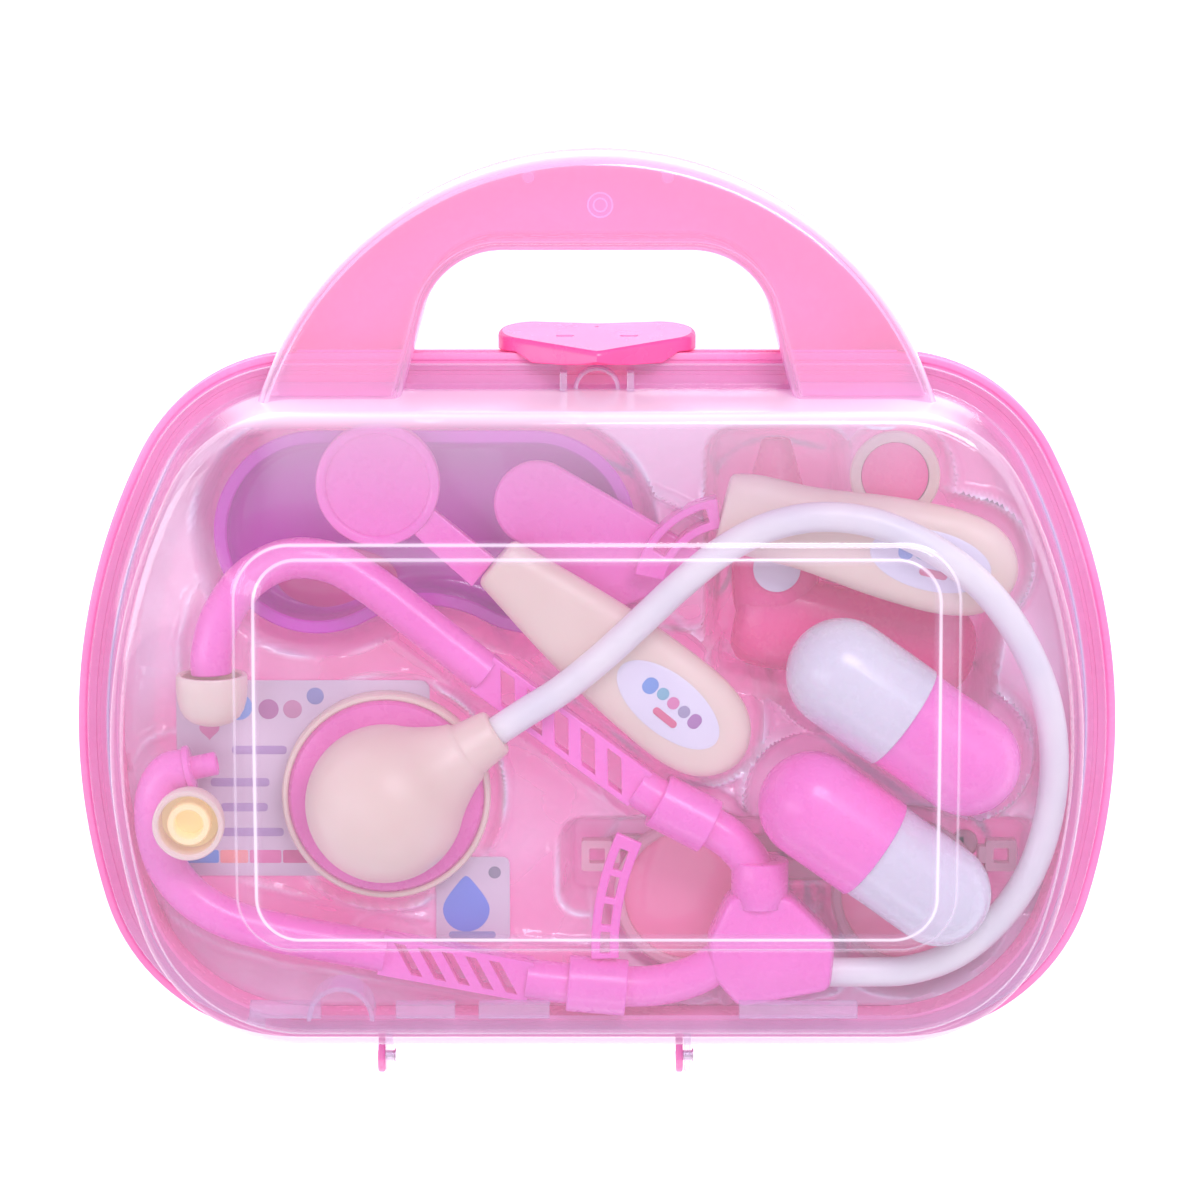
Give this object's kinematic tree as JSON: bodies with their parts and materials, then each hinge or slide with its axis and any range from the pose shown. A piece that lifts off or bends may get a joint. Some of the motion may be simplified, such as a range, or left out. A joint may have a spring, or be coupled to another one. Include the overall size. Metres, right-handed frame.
{
  "type": "toy doctor case",
  "caption": "Pink toy doctor case lying on its back, with a clear hinged lid, heart-shaped latch, two-part carry handle and a packed set of toy medical instruments.",
  "frame": {"origin": "on the back face that the case lies on, under the middle of the case's rim", "axes": "+X along the hinge, to the right in the picture; +Y from the hinge to the carry handle; +Z from the back out through the clear lid"},
  "size_m": [0.262, 0.2351, 0.0696],
  "materials": {
    "case_pink": "glossy moulded pink plastic, slightly see-through at the rim",
    "clear_lid": "clear glossy plastic",
    "clear_tray": "clear glossy plastic",
    "pin_metal": "satin steel",
    "tool_pink": "glossy moulded pink plastic",
    "hot_pink": "glossy moulded deep pink plastic",
    "cream": "smooth satin plastic",
    "purple_clear": "glossy tinted plastic, slightly see-through",
    "pale_pink": "glossy moulded pale pink plastic",
    "pink_lens": "clear tinted plastic",
    "white": "glossy white plastic",
    "hose_white": "soft white tube",
    "card_face": "printed plastic card"
  },
  "bodies": {
    "base": {"base_shell": "case_pink", "latch_pin": "pin_metal", "hinge_pins": "pin_metal", "tray": "clear_tray", "kidney_dish": "purple_clear", "name_card": "card_face", "small_card": "card_face", "spectacle_frame": "pale_pink", "spectacle_lenses": "pink_lens", "spectacle_temples": "pale_pink", "scope_body": "hot_pink", "scope_cone": "tool_pink", "scope_window": "white", "loupe_ring": "cream", "loupe_lens": "hot_pink", "mirror_head": "tool_pink", "mirror_grip": "cream", "paddle_blade": "tool_pink", "paddle_grip": "cream", "capsule_a_cap": "white", "capsule_a_body": "tool_pink", "capsule_b_cap": "tool_pink", "capsule_b_body": "white", "bell_disc": "tool_pink", "bell_ring": "cream", "bell_body": "cream", "hose": "hose_white", "y_connector": "tool_pink", "upper_arm": "tool_pink", "lower_arm": "tool_pink", "upper_collar": "tool_pink", "lower_collar": "tool_pink", "arm_strap": "tool_pink", "ear_tip": "cream", "loose_ear_tip": "cream"},
    "lid": {"lid_shell": "clear_lid"},
    "latch": {"latch": "case_pink"}
  },
  "joints": [
    {"name": "lid", "type": "hinge", "parent": "base", "child": "lid", "pos_m": [0, -0.0926, 0.035], "axis": [1, 0, 0], "range_deg": [0, 180]},
    {"name": "latch", "type": "hinge", "parent": "base", "child": "latch", "pos_m": [0, 0.087, 0.022], "axis": [-1, 0, 0], "range_deg": [0, 60]}
  ]
}
